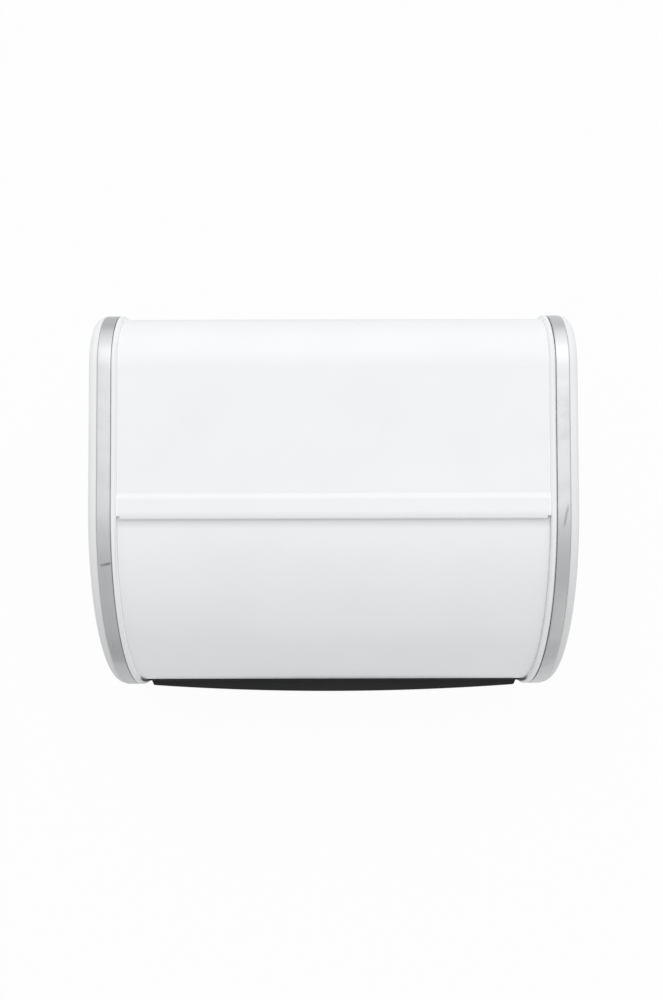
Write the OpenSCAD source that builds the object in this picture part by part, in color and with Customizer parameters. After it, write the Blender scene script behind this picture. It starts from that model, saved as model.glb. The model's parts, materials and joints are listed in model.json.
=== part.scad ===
// Bread box with a roll top: a wrapped sheet body between two moulded ends,
// and a quarter-round lid that turns back inside the box on two side pins.
// X is the width, the front faces -Y, and Z is up from the table.

/* [Overall] */
// Width over the two end covers
width = 350; // [300:1:420]
// Depth of the end profile, front to back, without the grip
depth = 286; // [270:1:320]
// Height from the table to the top of the ends
height = 180; // [176:1:190]
// Height of the ends above the table
end_lift = 6; // [3:0.5:8]

/* [End profile] */
// Radius of the large front curve, about the lid's pivot
front_r = 142; // [132:1:144]
// Radius of the upper rear corner
back_top_r = 44; // [30:1:60]
// Radius of the lower front corner
low_front_r = 26; // [20:1:29]
// Radius of the lower rear corner
low_back_r = 26; // [20:1:32]

/* [Ends] */
// Width of the painted ring beside the sheet body
ring_w = 3.3; // [3:0.1:6]
// Depth of the painted ring below the outline
ring_depth = 8; // [6:0.5:12]
// Rounding of the ring's inner edge
ring_round = 1.4; // [0.5:0.1:2]
// How far the lip under the lid's side edge reaches in from the ring
lip_w = 1.8; // [1:0.1:2.4]
// Thickness of that lip
lip_t = 1.2; // [0.8:0.1:1.5]
// Gap between that lip and the inner face of the lid
lip_gap = 0.35; // [0.3:0.05:0.6]
// Wall of the side plate
plate_wall = 2.4; // [1.8:0.1:3]
// Shadow gap between the ring and the trim band
trim_gap = 1; // [0.5:0.1:2]
// Depth of the shadow gap below the outline
trim_gap_depth = 4; // [2:0.5:6]
// Width of the bright trim band
band_w = 9.7; // [6:0.1:14]
// Thickness of the bright trim band
band_t = 1.2; // [0.8:0.1:2]
// Rounding at the outer edge of the end cover
cover_round = 7; // [4:0.5:10]
// Wall of the end cover
cover_wall = 2.2; // [1.6:0.1:3]
// How far the trim band stands proud of the end cover
band_proud = 0.6; // [0.2:0.1:1]

/* [Sheet body] */
// Depth of the sheet below the painted ring
sheet_recess = 2.5; // [1.5:0.1:2.6]
// Thickness of the steel sheet
sheet_t = 0.8; // [0.6:0.1:1]
// Width of the raised strip at the front of the top
strip_w = 14.7; // [12:0.1:24]
// Rise of that strip above the top sheet
strip_rise = 1.3; // [1:0.1:1.6]
// Run of the slope up to the strip
strip_slope = 3.8; // [3:0.5:8]
// Radius of the rolled front edge of the strip
roll_r = 1.2; // [1:0.05:1.25]
// Distance that the strip reaches in front of the lid's pivot
strip_lead = 8.9; // [6:0.1:12]
// Width of the relief notch at each front corner of the strip
strip_notch_w = 2.4; // [1.5:0.1:4]
// Length of that notch, front to back
strip_notch_l = 2.2; // [1.5:0.1:4]
// Gap between the front upstand and the lid's folded lower edge
sill_gap = 1.3; // [1:0.1:3]
// Height of the front upstand above the floor sheet
sill_h = 24; // [18:0.5:25]
// Clearance beside a cheek in the notch at each end of the upstand
notch_side = 1.2; // [1:0.1:1.4]
// Clearance below a cheek in that notch
notch_drop = 2; // [1:0.5:3]
// Bend radius between the floor and the upstand
sill_bend_r = 7; // [4:0.5:12]
// Diameter of the vent holes in the back
vent_d = 5; // [3:0.5:8]
// Spacing of the vent holes
vent_pitch = 14; // [12:1:20]
// Number of vent holes in each row
vent_count = 7; // [3:1:9]
// Distance of the upper vent row below the top of the ends
vent_drop = 54; // [50:1:70]

/* [Floor beads] */
// Number of pressed beads in the floor
bead_count = 3; // [2:1:4]
// Spacing of the beads
bead_pitch = 62; // [40:1:64]
// Half length of a bead, up to its round end
bead_half = 92; // [60:1:100]
// Half width of a bead at the floor
bead_base = 7; // [5:0.5:10]
// Half width of a bead at its crest
bead_crest = 4.5; // [2.5:0.5:5]
// Rise of a bead above the floor sheet
bead_rise = 1.4; // [0.6:0.1:2]

/* [Ledge] */
// Width of the ledge that carries the sheet
ledge_w = 10; // [8:0.5:12]
// Thickness of that ledge
ledge_t = 2; // [1.5:0.1:2.4]
// Distance behind the pivot where the top ledge starts
ledge_start = 34; // [30:1:50]

/* [Lid] */
// Depth of the lid's face below the painted ring
lid_recess = 4; // [3.9:0.1:5]
// Thickness of the lid sheet
lid_t = 0.8; // [0.6:0.1:1]
// Gap between the lid's side edge and the painted ring
lid_side_gap = 0.4; // [0.4:0.1:1.2]
// Height of the closed lid's lower edge above the floor sheet
lid_edge_h = 17.2; // [15:0.1:20]
// Angle of the lid's upper edge past the vertical
lid_over_angle = 2.5; // [1:0.5:4]
// Length of the folded hem along the lid's edges
hem_len = 7; // [5:0.5:10]
// Distance from the ends of the hems to the side edge of the lid
hem_notch = 2.4; // [2.4:0.1:6]
// Opening angle of the lid
open_angle = 80; // [60:1:80]

/* [Lid cheeks] */
// Distance from the painted ring to the outside of a cheek
cheek_gap = 3.8; // [3.4:0.1:5]
// Thickness of a cheek
cheek_t = 1.2; // [1:0.1:2]
// Width of the flange that carries the lid sheet
cheek_flange_w = 9; // [6:0.5:14]
// Thickness of that flange
cheek_flange_t = 1; // [0.8:0.1:1.5]
// Radius of the cheek's hub
hub_r = 13; // [10:0.5:18]
// Length of the hub inward of the cheek
hub_in = 1.8; // [1:0.1:3]
// Length of the hub outward of the cheek
hub_out = 1; // [0.5:0.1:1.4]
// Depth of the pressed panel in the cheek
press_depth = 0.6; // [0.3:0.1:0.8]
// Margin around the pressed panel
press_margin = 16; // [10:1:24]
// Angle between the pressed panel and each straight edge of the cheek
press_angle = 9; // [6:0.5:16]

/* [Pivot] */
// Radius of the pivot pin
pin_r = 4; // [3:0.1:5]
// Radius of the pin's head
pin_head_r = 7; // [6:0.5:9]
// Thickness of the pin's head
pin_head_t = 2.5; // [1.5:0.1:4]
// Radial clearance between the pin and the bush
pin_clear = 0.05; // [0.02:0.01:0.1]
// Wall of the plastic bush
bush_wall = 1.9; // [1:0.1:3]
// Radius of the bush's flange
bush_flange_r = 9; // [8.5:0.5:10]
// Thickness of the bush's flange
bush_flange_t = 0.8; // [0.5:0.1:1]
// Side clearance at the pivot
side_clear = 0.3; // [0.2:0.05:0.4]
// Radius of the pivot boss on the side plate
boss_r = 10; // [8:0.5:14]

/* [Stops] */
// Distance from the pivot to the stops
stop_reach = 70; // [50:1:90]
// Radius of a stop post
post_r = 3; // [2.5:0.1:4]
// Wall of the rubber sleeve on a post
sleeve_wall = 2; // [1:0.1:3]
// Clearance between the cheek's edge and the sleeve
stop_clear = 0.3; // [0.2:0.05:0.5]

/* [Grip] */
// Distance from the end of the grip to the side edge of the lid
grip_end_gap = 1; // [0.5:0.1:40]
// Draft of the grip's ends over its depth
grip_draft = 2.6; // [0:0.1:4]
// Reach of the grip in front of the ends at the middle
grip_out = 7.4; // [5:0.1:12]
// Bow of the grip's front edge, middle to end
grip_bow = 5.3; // [2:0.1:8]
// Height of the grip's underside above the lid's lower edge
grip_rise = 1; // [0:0.5:5]
// Height of the grip
grip_h = 13.5; // [10:0.5:14]
// Wall of the grip
grip_wall = 2.4; // [1.6:0.1:3]
// Thickness of the flange that backs the grip on the lid
grip_flange_t = 1.6; // [1:0.1:2]
// Height of that flange above the grip
grip_flange_h = 8.5; // [4:0.5:9]
// Distance of the flange's lower edge above the grip's underside
grip_flange_up = 0.6; // [0.5:0.1:4]
// Distance from the end of the flange to the side edge of the lid
grip_flange_gap = 0.4; // [0.3:0.1:4]

/* [Fixings] */
// Shank radius of the small screws
screw_r = 1.5; // [1.2:0.1:2]
// Radial clearance of the holes in the lid that the grip's screws pass through
screw_clear = 0.2; // [0.1:0.05:0.4]
// Head radius of the small screws
screw_head_r = 3; // [2.5:0.1:4]
// Head height of the small screws
screw_head_t = 1.4; // [1:0.1:1.5]
// Length of the shell screws
shell_screw_len = 8; // [6:0.5:9]
// Length of the cover screws
cover_screw_len = 12; // [8:0.5:12]
// Length of the grip screws
grip_screw_len = 5; // [4:0.5:6]
// Distance of the front cover screw behind the front
cover_screw_in = 40; // [34:1:60]
// Height of the front cover screw above the pivot
cover_screw_rise = 34; // [25:1:45]
// Distance of the low cover screw from the back and the underside
cover_screw_low = 30; // [26:1:40]
// Distance of the top cover screw in front of the back
cover_screw_back = 50; // [40:1:60]
// Distance of the top cover screw below the top
cover_screw_drop = 32; // [26:1:40]
// Distance of the floor screws from the front and the back
floor_screw_in = 62; // [55:1:75]
// Height of the low back screw above the underside
back_screw_low = 44; // [38:1:56]
// Distance of the high back screw below the top
back_screw_drop = 62; // [52:1:74]
// Radius of a screw boss
screw_boss_r = 4; // [3.5:0.5:6]
// Height of the shell screw's boss on the ledge
ledge_boss_h = 6; // [5:0.5:8]

/* [Feet] */
// Radius of a foot at the floor sheet
foot_r = 10; // [7:0.5:14]
// Radius of a foot at the table
foot_low_r = 8; // [6:0.5:14]
// Radius of a foot's stem
foot_stem_r = 3; // [2:0.5:4]
// Distance of the feet from the outside of the ends
foot_in_x = 45; // [30:1:80]
// Distance of the feet from the front and the back
foot_in_y = 42; // [36:1:70]

/* [Hidden] */
$fn = 96;

// the outline: y positions of the ends, with the whole part centred front to back
y_front = -(depth + grip_out) / 2 + grip_out;
y_back = y_front + depth;
z_low = end_lift;
z_top = height;
pivot_y = y_front + front_r;
pivot_z = z_top - front_r;

// centres of the four corners, in y and z
c_front = [pivot_y, pivot_z];
c_back = [y_back - back_top_r, z_top - back_top_r];
c_low_back = [y_back - low_back_r, z_low + low_back_r];
low_front_fit = min(low_front_r, pivot_z - z_low);
c_low_front = [y_front + low_front_fit, z_low + low_front_fit];

// x planes of one end, from the outside inwards
x_cover = width / 2;
x_band_out = x_cover - cover_round;
x_band_in = x_band_out - band_w;
x_ring_out = x_band_in - trim_gap;
x_ring_in = x_ring_out - ring_w;
x_plate_in = x_ring_out - plate_wall;
x_cheek_out = x_ring_in - cheek_gap;
x_cheek_in = x_cheek_out - cheek_t;
x_hub_out = x_cheek_out + hub_out;
x_hub_in = x_cheek_in - hub_in;
x_boss_in = x_hub_out + bush_flange_t + side_clear;
x_lid = x_ring_in - lid_side_gap;

// the lid
lid_r = front_r - lid_recess;
lid_in_r = lid_r - lid_t;
z_lid_edge = z_low + sheet_recess + sheet_t + lid_edge_h;
lid_low_angle = asin((pivot_z - z_lid_edge) / lid_r);
lid_low = 180 + lid_low_angle;
lid_high = 90 - lid_over_angle;
hem_angle = hem_len / lid_in_r * 180 / PI;
hem_in_r = lid_in_r - lid_t;
hem_gap_angle = 1.2;
x_hem = x_lid - hem_notch;
lip_r = lid_in_r - lip_gap;
lip_high = lid_high + hem_angle;
lip_low = lid_low - hem_angle - hem_gap_angle;

// the stops lie one sleeve radius away from the cheek's two straight edges
sleeve_r = post_r + sleeve_wall;
stop_angle = asin((sleeve_r + stop_clear) / stop_reach);
front_stop = lid_low + stop_angle;
rear_stop = lid_high - open_angle - stop_angle;
x_post_in = x_cheek_in - 1;

// the sheet
in_sheet = sheet_recess + sheet_t;
in_ledge = in_sheet + ledge_t;
z_sheet = z_top - sheet_recess;
z_floor_low = z_low + sheet_recess;
z_floor = z_floor_low + sheet_t;
y_strip_front = pivot_y - strip_lead;
y_strip_back = y_strip_front + strip_w;
y_slope_back = y_strip_back + strip_slope;
z_strip = z_sheet + strip_rise;
y_sill = pivot_y - hem_in_r * cos(lid_low_angle) + sill_gap;
x_notch = x_cheek_in - notch_side;
z_notch = pivot_z - (pivot_y - y_sill) * tan(lid_low_angle) - notch_drop;
strip_inside = sheet_t * strip_rise / strip_slope / 2;
x_strip_notch = x_ring_in - strip_notch_w;

// the grip's front edge is a flat arc through its ends and its middle
grip_half = x_lid - grip_end_gap;
grip_tip_half = grip_half - grip_draft;
grip_bow_r = (grip_tip_half * grip_tip_half + grip_bow * grip_bow) / (2 * grip_bow);
y_grip = y_front - grip_out;
z_grip_low = z_lid_edge + grip_rise;
z_grip_top = z_grip_low + grip_h;
y_grip_root = pivot_y - sqrt(lid_r * lid_r - pow(z_grip_top - pivot_z, 2)) + 1;
z_grip_screw = z_grip_top - grip_wall / 2 - screw_r / 2;
grip_screw_angle = 180 - asin((z_grip_screw - pivot_z) / lid_r);
grip_screw_seat = sqrt(lid_in_r * lid_in_r - screw_head_r * screw_head_r);
grip_flange_high = 180 - asin((z_grip_top + grip_flange_h - pivot_z) / (lid_r + grip_flange_t));
grip_flange_low = 180 + asin((pivot_z - z_grip_low - grip_flange_up) / lid_r);
x_grip_flange = x_lid - grip_flange_gap;
grip_screws_x = [-grip_half * 2 / 3, 0, grip_half * 2 / 3];

// screw places: the covers in y and z, the shell at the floor and the back
cover_spots = [
  [y_front + cover_screw_in, pivot_z + cover_screw_rise],
  [y_back - cover_screw_low, z_low + cover_screw_low],
  [y_back - cover_screw_back, z_top - cover_screw_drop]
];
x_ledge_mid = x_ring_in - ledge_w / 2;
floor_screws_y = [y_front + floor_screw_in, y_back - floor_screw_in];
back_screws_z = [z_low + back_screw_low, z_top - back_screw_drop];

white = [0.95, 0.95, 0.96];
bright = [0.78, 0.79, 0.8];
dark = [0.13, 0.13, 0.14];
steel = [0.66, 0.67, 0.69];
nylon = [0.85, 0.84, 0.8];

// turns a profile drawn in y and z into a solid between two x planes
module across(x0, x1) {
  translate([x0, 0, 0])
    rotate([90, 0, 90])
      linear_extrude(x1 - x0)
        children();
}

// a round bar along x
module bar(y, z, x0, x1, r) {
  translate([x0, y, z])
    rotate([0, 90, 0])
      cylinder(r = r, h = x1 - x0);
}

// both sides of the box from one drawn for +X
module left_of() {
  mirror([1, 0, 0])
    children();
}

// wedge between two angles, reaching past radius r
module wedge(r, a0, a1) {
  mid = (a0 + a1) / 2;
  far = r * 1.6;
  polygon([
    [0, 0],
    [far * cos(a0), far * sin(a0)],
    [far * cos(mid), far * sin(mid)],
    [far * cos(a1), far * sin(a1)]
  ]);
}

// part of a flat ring between two angles, about the pivot
module arc_band(r_in, r_out, a0, a1) {
  translate(c_front)
    intersection() {
      difference() {
        circle(r = r_out);
        circle(r = r_in);
      }
      wedge(r_out, a0, a1);
    }
}

// quarter disc in one corner of the outline
module corner_disc(c, r, a0) {
  translate(c)
    rotate(a0)
      intersection() {
        circle(r = r);
        square([r * 2, r * 2]);
      }
}

// the end profile, drawn inwards by a distance
module outline(inset) {
  union() {
    polygon([
      [c_front[0], z_top - inset],
      c_front,
      [y_front + inset, c_front[1]],
      [y_front + inset, c_low_front[1]],
      c_low_front,
      [c_low_front[0], z_low + inset],
      [c_low_back[0], z_low + inset],
      c_low_back,
      [y_back - inset, c_low_back[1]],
      [y_back - inset, c_back[1]],
      c_back,
      [c_back[0], z_top - inset]
    ]);
    corner_disc(c_back, back_top_r - inset, 0);
    corner_disc(c_front, front_r - inset, 90);
    corner_disc(c_low_front, low_front_fit - inset, 180);
    corner_disc(c_low_back, low_back_r - inset, 270);
  }
}

// a section drawn as [inset, x] carried round one corner
module turn_corner(c, r, a0) {
  translate([0, c[0], c[1]])
    rotate([90, 0, 90])
      rotate([0, 0, a0])
        rotate_extrude(angle = 90)
          translate([r, 0])
            mirror([1, 0])
              children();
}

// the same section carried along one straight side
module run_straight(c, r, a0, len) {
  translate([0, c[0], c[1]])
    rotate([90, 0, 90])
      rotate([0, 0, a0])
        translate([0, len, 0])
          rotate([90, 0, 0])
            linear_extrude(len)
              translate([r, 0])
                mirror([1, 0])
                  children();
}

// a section carried round the whole outline
module round_outline() {
  turn_corner(c_back, back_top_r, 0)
    children();
  turn_corner(c_front, front_r, 90)
    children();
  turn_corner(c_low_front, low_front_fit, 180)
    children();
  turn_corner(c_low_back, low_back_r, 270)
    children();
  run_straight(c_back, back_top_r, 90, c_back[0] - c_front[0])
    children();
  run_straight(c_front, front_r, 180, c_front[1] - c_low_front[1])
    children();
  run_straight(c_low_front, low_front_fit, 270, c_low_back[0] - c_low_front[0])
    children();
  run_straight(c_low_back, low_back_r, 0, c_back[1] - c_low_back[1])
    children();
}

// ledge section under the edge of the sheet
module ledge_section() {
  translate([in_sheet, x_ring_in - ledge_w])
    square([ledge_t, ledge_w]);
}

// the ledge runs from the top, down the back and under the floor
module ledge() {
  run_straight(c_back, back_top_r, 90, c_back[0] - pivot_y - ledge_start)
    ledge_section();
  turn_corner(c_back, back_top_r, 0)
    ledge_section();
  run_straight(c_low_back, low_back_r, 0, c_back[1] - c_low_back[1])
    ledge_section();
  turn_corner(c_low_back, low_back_r, 270)
    ledge_section();
  y0 = y_sill + sheet_t + sill_bend_r;
  translate([x_ring_in - ledge_w, y0, z_floor])
    cube([ledge_w, c_low_back[0] - y0, ledge_t]);
}

// ring section: a bar under the outline with a rounded inner edge
module ring_section() {
  difference() {
    translate([0, x_ring_in])
      square([ring_depth, ring_w]);
    difference() {
      translate([-1, x_ring_in - 1])
        square([1 + ring_round, 1 + ring_round]);
      translate([ring_round, x_ring_in + ring_round])
        circle(r = ring_round, $fn = 32);
    }
  }
}

// screw bosses on the ledge, at the floor and at the back
module ledge_bosses() {
  for (y = floor_screws_y) {
    translate([x_ledge_mid, y, z_floor])
      cylinder(r = screw_boss_r, h = ledge_boss_h);
  }
  for (z = back_screws_z) {
    translate([x_ledge_mid, y_back - in_sheet, z])
      rotate([90, 0, 0])
        cylinder(r = screw_boss_r, h = ledge_boss_h);
  }
}

module ledge_bores() {
  for (y = floor_screws_y) {
    translate([x_ledge_mid, y, z_floor - 1])
      cylinder(r = screw_r, h = shell_screw_len + 3);
  }
  for (z = back_screws_z) {
    translate([x_ledge_mid, y_back - in_sheet + 1, z])
      rotate([90, 0, 0])
        cylinder(r = screw_r, h = shell_screw_len + 3);
  }
}

// centre of a stop, from its angle about the pivot
function stop_at(a) = [pivot_y + stop_reach * cos(a), pivot_z + stop_reach * sin(a)];

module side_plate() {
  difference() {
    union() {
      across(x_plate_in, x_ring_out)
        outline(ring_depth / 2);
      round_outline()
        ring_section();
      across(x_ring_in - lip_w, x_ring_in + ring_w / 2)
        arc_band(lip_r - lip_t, lip_r, lip_high, lip_low);
      ledge();
      ledge_bosses();
      bar(pivot_y, pivot_z, x_boss_in, x_plate_in + 0.1, boss_r);
      for (a = [front_stop, rear_stop]) {
        bar(stop_at(a)[0], stop_at(a)[1], x_post_in, x_plate_in + 0.1, post_r);
      }
    }
    bar(pivot_y, pivot_z, x_boss_in - 1, x_ring_out + 1, pin_r);
    for (s = cover_spots) {
      bar(s[0], s[1], x_plate_in - 1, x_ring_out + 1, screw_r);
    }
    ledge_bores();
  }
}

module trim_band() {
  round_outline()
    polygon([
      [0.3, x_band_in],
      [band_t, x_band_in],
      [band_t, x_band_out],
      [0.3, x_band_out],
      [0, x_band_out - 0.3],
      [0, x_band_in + 0.3]
    ]);
}

// cover section: skirt under the band, then the rounded shoulder
module cover_section() {
  shoulder = band_proud + cover_round;
  polygon([
    [trim_gap_depth, x_ring_out],
    [trim_gap_depth, x_band_in],
    [band_t, x_band_in],
    [band_t, x_band_out],
    [band_t + cover_wall, x_band_out],
    [band_t + cover_wall, x_band_in + cover_wall],
    [trim_gap_depth + cover_wall, x_band_in + cover_wall],
    [trim_gap_depth + cover_wall, x_ring_out]
  ]);
  intersection() {
    difference() {
      translate([shoulder, x_band_out])
        circle(r = cover_round);
      translate([shoulder, x_band_out])
        circle(r = cover_round - cover_wall);
    }
    translate([0, x_band_out])
      square([shoulder + 0.01, cover_round + 1]);
  }
  translate([band_proud, x_band_out])
    square([band_t + cover_wall - band_proud, 1]);
}

module end_cover() {
  shoulder = band_proud + cover_round;
  difference() {
    union() {
      round_outline()
        cover_section();
      across(x_cover - cover_wall, x_cover)
        outline(shoulder);
      for (s = cover_spots) {
        bar(s[0], s[1], x_ring_out, x_cover - cover_wall + 0.1, screw_boss_r);
      }
    }
    for (s = cover_spots) {
      bar(s[0], s[1], x_ring_out - 1, x_ring_out + cover_screw_len, screw_r);
    }
  }
}

// top sheet behind the slope, back and floor, as one wrapped sheet
module sheet_wrap() {
  difference() {
    outline(sheet_recess);
    outline(in_sheet);
    translate([y_front - 1, z_low - 1])
      square([y_slope_back - y_front + 1, height + 2]);
  }
  translate([y_sill + sheet_t + sill_bend_r, z_floor_low])
    square([y_slope_back - y_sill - sheet_t - sill_bend_r, sheet_t]);
}

// upstand at the front of the floor, with its bend and a folded top
module sill() {
  r_out = sill_bend_r + sheet_t;
  cy = y_sill + r_out;
  cz = z_floor_low + r_out;
  translate([cy, cz])
    intersection() {
      difference() {
        circle(r = r_out);
        circle(r = sill_bend_r);
      }
      translate([-r_out * 2, -r_out * 2])
        square([r_out * 2, r_out * 2]);
    }
  z1 = z_floor + sill_h;
  polygon([
    [y_sill, cz],
    [y_sill, z1],
    [y_sill + sheet_t * 2, z1],
    [y_sill + sheet_t * 2, z1 - hem_len],
    [y_sill + sheet_t, z1 - hem_len],
    [y_sill + sheet_t, cz]
  ]);
}

// raised strip with its slope and rolled front edge
module strip_profile() {
  y0 = y_strip_front + roll_r;
  polygon([
    [y_slope_back, z_sheet],
    [y_strip_back, z_strip],
    [y0, z_strip],
    [y0, z_strip - sheet_t],
    [y_strip_back - strip_inside, z_strip - sheet_t],
    [y_slope_back, z_sheet - sheet_t]
  ]);
  translate([y0, z_strip - roll_r])
    difference() {
      circle(r = roll_r, $fn = 48);
      circle(r = roll_r - sheet_t, $fn = 32);
      translate([0, -roll_r - 1])
        square([roll_r + 1, roll_r * 2 + 2]);
    }
  translate([y0, z_strip - 2 * roll_r])
    square([hem_len / 2, sheet_t]);
}

// a flat-topped bead with round ends, standing on height z
module bead(y, z) {
  section = [[0, 0], [bead_base, 0], [bead_crest, bead_rise], [0, bead_rise]];
  for (sx = [-1, 1]) {
    translate([sx * bead_half, y, z])
      rotate([0, 0, -sx * 90])
        rotate_extrude(angle = 180)
          polygon(section);
  }
  translate([-bead_half, y, z])
    rotate([90, 0, 90])
      linear_extrude(bead_half * 2)
        polygon([
          [-bead_base, 0],
          [bead_base, 0],
          [bead_crest, bead_rise],
          [-bead_crest, bead_rise]
        ]);
}

function bead_y(i) = (y_front + y_back) / 2 + (i - (bead_count - 1) / 2) * bead_pitch;

module body_shell() {
  color(white)
    difference() {
      union() {
        for (i = [0 : bead_count - 1]) {
          bead(bead_y(i), z_floor);
        }
        across(-x_ring_in, x_ring_in)
          sheet_wrap();
        across(-x_ring_in, x_ring_in)
          sill();
        across(-x_ring_in, x_ring_in)
          strip_profile();
      }
      for (i = [0 : bead_count - 1]) {
        bead(bead_y(i), z_floor_low);
      }
      for (sx = [-1, 1]) {
        for (y = floor_screws_y) {
          translate([sx * x_ledge_mid, y, z_floor_low - 1])
            cylinder(r = screw_r, h = sheet_t + 2);
        }
        for (z = back_screws_z) {
          translate([sx * x_ledge_mid, y_back - sheet_recess + 1, z])
            rotate([90, 0, 0])
              cylinder(r = screw_r, h = sheet_t + 2);
        }
        for (y = [y_front + foot_in_y, y_back - foot_in_y]) {
          translate([sx * (x_cover - foot_in_x), y, z_floor_low - 1])
            cylinder(r = foot_stem_r, h = sheet_t + 2);
        }
      }
      for (sx = [-1, 1]) {
        translate([sx > 0 ? x_notch : -x_ring_in - 1, y_sill - 1, z_notch])
          cube([x_ring_in + 1 - x_notch, sheet_t * 2 + 2, sill_h]);
        translate([sx > 0 ? x_strip_notch : -x_ring_in - 1, y_strip_front - 1, z_strip - in_sheet])
          cube([strip_notch_w + 1, strip_notch_l + 1, in_sheet + 1]);
      }
      for (i = [0 : vent_count - 1]) {
        for (row = [0, 1]) {
          vent_x = (i - (vent_count - 1) / 2) * vent_pitch;
          translate([vent_x, y_back + 1, z_top - vent_drop - row * vent_pitch])
            rotate([90, 0, 0])
              cylinder(r = vent_d / 2, h = in_sheet + 2);
        }
      }
    }
}

module lid_panel() {
  color(white)
    difference() {
      across(-x_lid, x_lid)
        arc_band(hem_in_r, lid_r, lid_high, lid_low);
      across(-x_lid - lid_t, x_lid + lid_t)
        arc_band(hem_in_r - lid_t, lid_in_r, lid_high + hem_angle, lid_low - hem_angle);
      for (x = [-x_lid - lid_t, x_hem]) {
        across(x, x + hem_notch + lid_t) {
          arc_band(hem_in_r - lid_t, lid_in_r, lid_high - hem_gap_angle, lid_high + hem_angle + hem_gap_angle);
          arc_band(hem_in_r - lid_t, lid_in_r, lid_low - hem_angle - hem_gap_angle, lid_low + hem_gap_angle);
        }
      }
      for (x = grip_screws_x) {
        grip_screw_bar(x, screw_r + screw_clear, hem_in_r - 1, lid_recess);
      }
    }
}

// cheek outline: a quarter sector that reaches past the vertical
module cheek_sector(r, pull) {
  translate(c_front)
    intersection() {
      circle(r = r);
      translate([0, 0])
        wedge(r, lid_high + pull, lid_low - pull);
    }
}

module lid_cheek() {
  difference() {
    union() {
      across(x_cheek_in, x_cheek_out)
        cheek_sector(lid_in_r - cheek_flange_t, 0);
      across(x_cheek_out - cheek_flange_w, x_cheek_out) {
        a0 = lid_high + hem_angle + hem_gap_angle;
        a1 = lid_low - hem_angle - hem_gap_angle;
        arc_band(lid_in_r - cheek_flange_t, lid_in_r, a0, a1);
        arc_band(lid_in_r - cheek_flange_t * 2, lid_in_r - cheek_flange_t + 0.01, a0, a1);
      }
      bar(pivot_y, pivot_z, x_hub_in, x_hub_out, hub_r);
    }
    across(x_cheek_out - press_depth, x_cheek_out + 0.01) {
      arc_band(hub_r + press_margin, lid_in_r - press_margin, lid_high + press_angle, lid_low - press_angle);
    }
    bar(pivot_y, pivot_z, x_hub_in - 1, x_hub_out + 1, pin_r + pin_clear + bush_wall);
  }
}

// plan of the grip, drawn in x and y
module grip_plan(shrink) {
  intersection() {
    translate([0, y_grip + grip_bow_r])
      circle(r = grip_bow_r - shrink, $fn = 720);
    polygon([
      [-grip_half + shrink, y_grip_root],
      [-grip_tip_half + shrink, y_grip - 1],
      [grip_tip_half - shrink, y_grip - 1],
      [grip_half - shrink, y_grip_root],
      [grip_half - shrink, pivot_y],
      [-grip_half + shrink, pivot_y]
    ]);
  }
}

module lid_grip() {
  color(dark)
    difference() {
      union() {
        difference() {
          translate([0, 0, z_grip_low])
            linear_extrude(grip_h)
              grip_plan(0);
          translate([0, 0, z_grip_low - 1])
            linear_extrude(grip_h - grip_wall + 1)
              grip_plan(grip_wall);
        }
        across(-x_grip_flange, x_grip_flange)
          arc_band(lid_in_r, lid_r + grip_flange_t, grip_flange_high, grip_flange_low);
      }
      bar(pivot_y, pivot_z, -x_ring_in, x_ring_in, lid_r);
      for (x = grip_screws_x) {
        grip_screw_bar(x, screw_r, lid_in_r, grip_screw_len);
      }
    }
}

// a bar pointing out from the pivot at the grip screw's angle
module grip_screw_bar(x, r, from, len) {
  translate([x, pivot_y, pivot_z])
    rotate([grip_screw_angle - 90, 0, 0])
      translate([0, 0, from])
        cylinder(r = r, h = len);
}

module pivot_pin() {
  bar(pivot_y, pivot_z, x_hub_in - side_clear - 0.01, x_ring_out, pin_r);
  bar(pivot_y, pivot_z, x_hub_in - side_clear - pin_head_t, x_hub_in - side_clear, pin_head_r);
}

module pivot_bush() {
  difference() {
    union() {
      bar(pivot_y, pivot_z, x_hub_in, x_hub_out + 0.01, pin_r + pin_clear + bush_wall);
      bar(pivot_y, pivot_z, x_hub_out, x_hub_out + bush_flange_t, bush_flange_r);
    }
    bar(pivot_y, pivot_z, x_hub_in - 1, x_hub_out + bush_flange_t + 1, pin_r + pin_clear);
  }
}

module stop_sleeve(a) {
  y = stop_at(a)[0];
  z = stop_at(a)[1];
  difference() {
    bar(y, z, x_post_in, x_plate_in, sleeve_r);
    bar(y, z, x_post_in - 1, x_plate_in + 1, post_r);
  }
}

// push-in rubber foot: pad, stem through the floor and a retaining head
module foot() {
  rotate_extrude()
    polygon([
      [0, 0],
      [foot_low_r - 1, 0],
      [foot_low_r, 1],
      [foot_r, z_floor_low - 1],
      [foot_r - 0.5, z_floor_low],
      [foot_stem_r, z_floor_low],
      [foot_stem_r, z_floor],
      [foot_stem_r + 1.4, z_floor],
      [foot_stem_r + 1, z_floor + 1.2],
      [foot_stem_r - 1, z_floor + 2.4],
      [0, z_floor + 2.4]
    ]);
}

module foot_at(sx, y) {
  color(dark)
    translate([sx * (x_cover - foot_in_x), y, 0])
      foot();
}

// pan head screw pointing up from the under side of its head
module screw(len) {
  rotate_extrude()
    polygon([
      [0, -screw_head_t],
      [screw_head_r - 0.8, -screw_head_t],
      [screw_head_r, -screw_head_t + 0.7],
      [screw_head_r, 0],
      [screw_r, 0],
      [screw_r, len - 1],
      [screw_r - 0.8, len],
      [0, len]
    ]);
}

module cover_screws() {
  color(steel)
    for (sx = [0, 1]) {
      mirror([sx, 0, 0])
        for (s = cover_spots) {
          translate([x_plate_in, s[0], s[1]])
            rotate([0, 90, 0])
              screw(cover_screw_len);
        }
    }
}

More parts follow.
